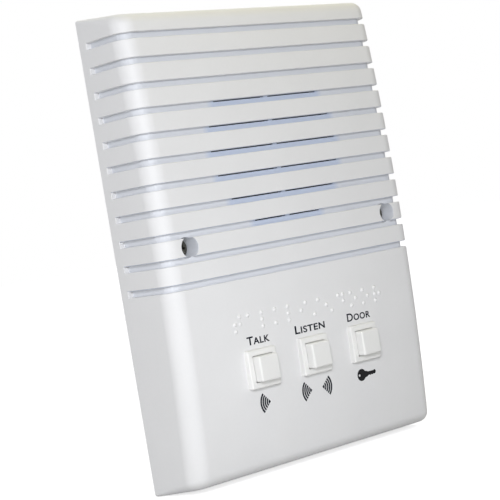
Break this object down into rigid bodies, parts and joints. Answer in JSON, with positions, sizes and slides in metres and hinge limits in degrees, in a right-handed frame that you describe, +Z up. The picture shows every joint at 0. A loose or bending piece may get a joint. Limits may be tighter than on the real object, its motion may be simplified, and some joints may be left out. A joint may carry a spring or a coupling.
{
  "type": "intercom room station",
  "caption": "Wall-mounted intercom room station: grooved moulded cover over a slotted loudspeaker area, stepped square push-buttons and raised Braille, on a steel plate for a wall box.",
  "frame": {"origin": "centre of the four wall-box screw holes, on the back face of the mounting plate, which lies on the wall", "axes": "+Z up, +Y into the wall, so the front faces -Y, and +X to the right of someone who faces the station"},
  "size_m": [0.1194, 0.0308, 0.1648],
  "materials": {
    "cover_plastic": "satin moulded, cool white",
    "button_plastic": "satin moulded, warm white",
    "plunger_plastic": "matte moulded",
    "switch_plastic": "matte moulded",
    "spring_steel": "bright drawn wire",
    "board_laminate": "solder-masked glass laminate",
    "solder": "bright tin",
    "zinc_steel": "zinc plated",
    "terminal_plastic": "moulded polyamide",
    "capacitor_sleeve": "shrunk sleeve",
    "resistor_body": "lacquered",
    "black_cloth": "open weave",
    "gasket_board": "pressed fibre",
    "basket_steel": "pressed and stove enamelled",
    "cone_paper": "pressed pulp",
    "coil_copper": "enamelled winding",
    "ferrite": "ground ferrite",
    "strip_laminate": "punched phenolic board",
    "tinned_brass": "tinned",
    "wire_insulation": "soft insulation",
    "screw_steel": "plated, slightly dulled",
    "plate_steel": "zinc plated sheet"
  },
  "bodies": {
    "station": {"front_cover": "cover_plastic", "talk_bezel": "button_plastic", "listen_bezel": "button_plastic", "door_bezel": "button_plastic", "talk_spring": "spring_steel", "listen_spring": "spring_steel", "door_spring": "spring_steel", "talk_switch": "switch_plastic", "listen_switch": "switch_plastic", "door_switch": "switch_plastic", "circuit_board": "board_laminate", "solder_joints": "solder", "board_screws": "zinc_steel", "terminal_block": "terminal_plastic", "terminal_screws": "zinc_steel", "capacitor": "capacitor_sleeve", "resistors": "resistor_body", "resistor_leads": "solder", "dust_cloth": "black_cloth", "speaker_gasket": "gasket_board", "speaker_basket": "basket_steel", "speaker_cone": "cone_paper", "dust_cap": "cone_paper", "voice_coil": "coil_copper", "pole_plate": "zinc_steel", "speaker_magnet": "ferrite", "speaker_yoke": "zinc_steel", "terminal_strip": "strip_laminate", "speaker_tags": "tinned_brass", "speaker_clips": "zinc_steel", "clip_screws": "zinc_steel", "speaker_wires": "wire_insulation", "cover_screws": "screw_steel", "mounting_plate": "plate_steel", "plate_nuts": "zinc_steel"},
    "talk_key": {"talk_button": "button_plastic", "talk_plunger": "plunger_plastic"},
    "listen_key": {"listen_button": "button_plastic", "listen_plunger": "plunger_plastic"},
    "door_key": {"door_button": "button_plastic", "door_plunger": "plunger_plastic"}
  },
  "joints": [
    {"name": "talk_press", "type": "slide", "parent": "station", "child": "talk_key", "axis": [0, 1, 0], "range_m": [0, 0.0025], "stiffness_N_per_m": 500, "springref_m": -0.002, "deforming": ["talk_spring"]},
    {"name": "listen_press", "type": "slide", "parent": "station", "child": "listen_key", "axis": [0, 1, 0], "range_m": [0, 0.0025], "stiffness_N_per_m": 500, "springref_m": -0.002, "deforming": ["listen_spring"]},
    {"name": "door_press", "type": "slide", "parent": "station", "child": "door_key", "axis": [0, 1, 0], "range_m": [0, 0.0025], "stiffness_N_per_m": 500, "springref_m": -0.002, "deforming": ["door_spring"]}
  ]
}
